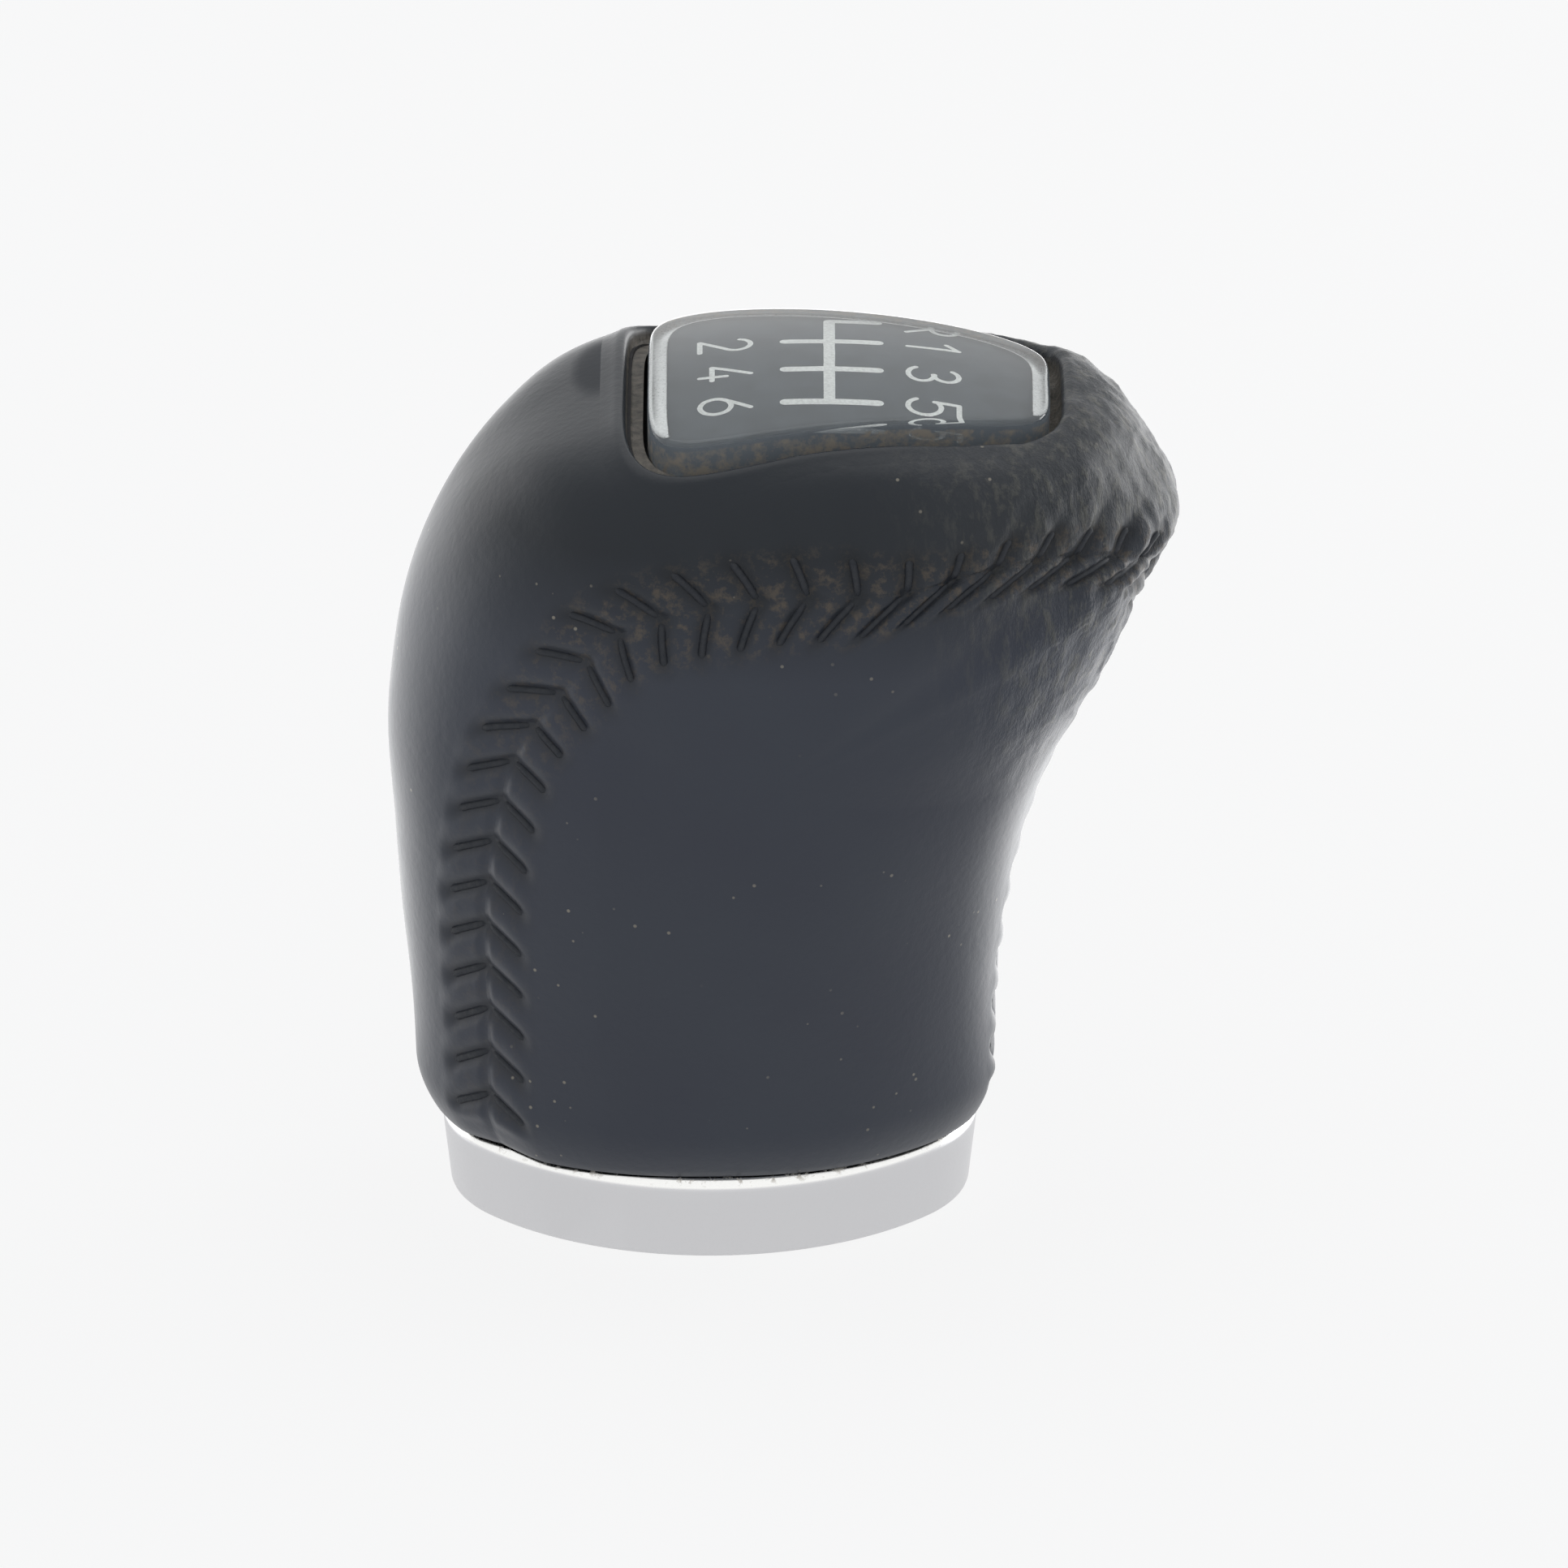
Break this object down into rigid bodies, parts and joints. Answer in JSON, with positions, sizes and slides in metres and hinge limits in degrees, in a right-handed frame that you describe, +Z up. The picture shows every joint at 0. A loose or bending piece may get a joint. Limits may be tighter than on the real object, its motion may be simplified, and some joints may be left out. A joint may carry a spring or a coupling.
{
  "type": "gear shift knob",
  "caption": "Leather-covered gear shift knob with an overhanging nose, plaited seams, a crowned shift-pattern badge and a satin oval foot ring over a blind lever socket.",
  "frame": {"origin": "on the lever's axis at the mouth of its socket, level with the underside of the foot ring", "axes": "+X to the front of the car, where the nose overhangs; +Y to the car's left-hand side; +Z up along the lever to the badge"},
  "size_m": [0.0706, 0.0452, 0.0805],
  "materials": {
    "satin_silver": "satin",
    "black_plastic": "fine grain",
    "grey_plastic": "as moulded",
    "zinc_steel": "zinc plated",
    "steel": "drawn",
    "spring_steel": "bright wire",
    "rubber": "matte",
    "cast_zinc": "as cast",
    "foam": "skinned foam",
    "leather": "worn smooth nappa",
    "thread": "waxed",
    "tape": "foam tape",
    "bright_aluminium": "satin anodised",
    "printed_plate": "satin print",
    "clear_lens": "clear acrylic"
  },
  "bodies": {
    "root": {"base_ring": "satin_silver", "collar": "black_plastic", "collar_screws": "zinc_steel", "socket_sleeve": "steel", "lever_clip": "spring_steel", "damper_sleeve": "rubber", "core_insert": "grey_plastic", "head_weight": "cast_zinc", "foam_body": "foam", "leather_right": "leather", "leather_left": "leather", "leather_strip": "leather", "seam_thread_right": "thread", "seam_thread_left": "thread", "seam_thread_front": "thread", "badge_carrier": "black_plastic", "badge_tape": "tape", "badge_frame": "bright_aluminium", "badge_plate": "printed_plate", "badge_lens": "clear_lens"}
  },
  "joints": []
}
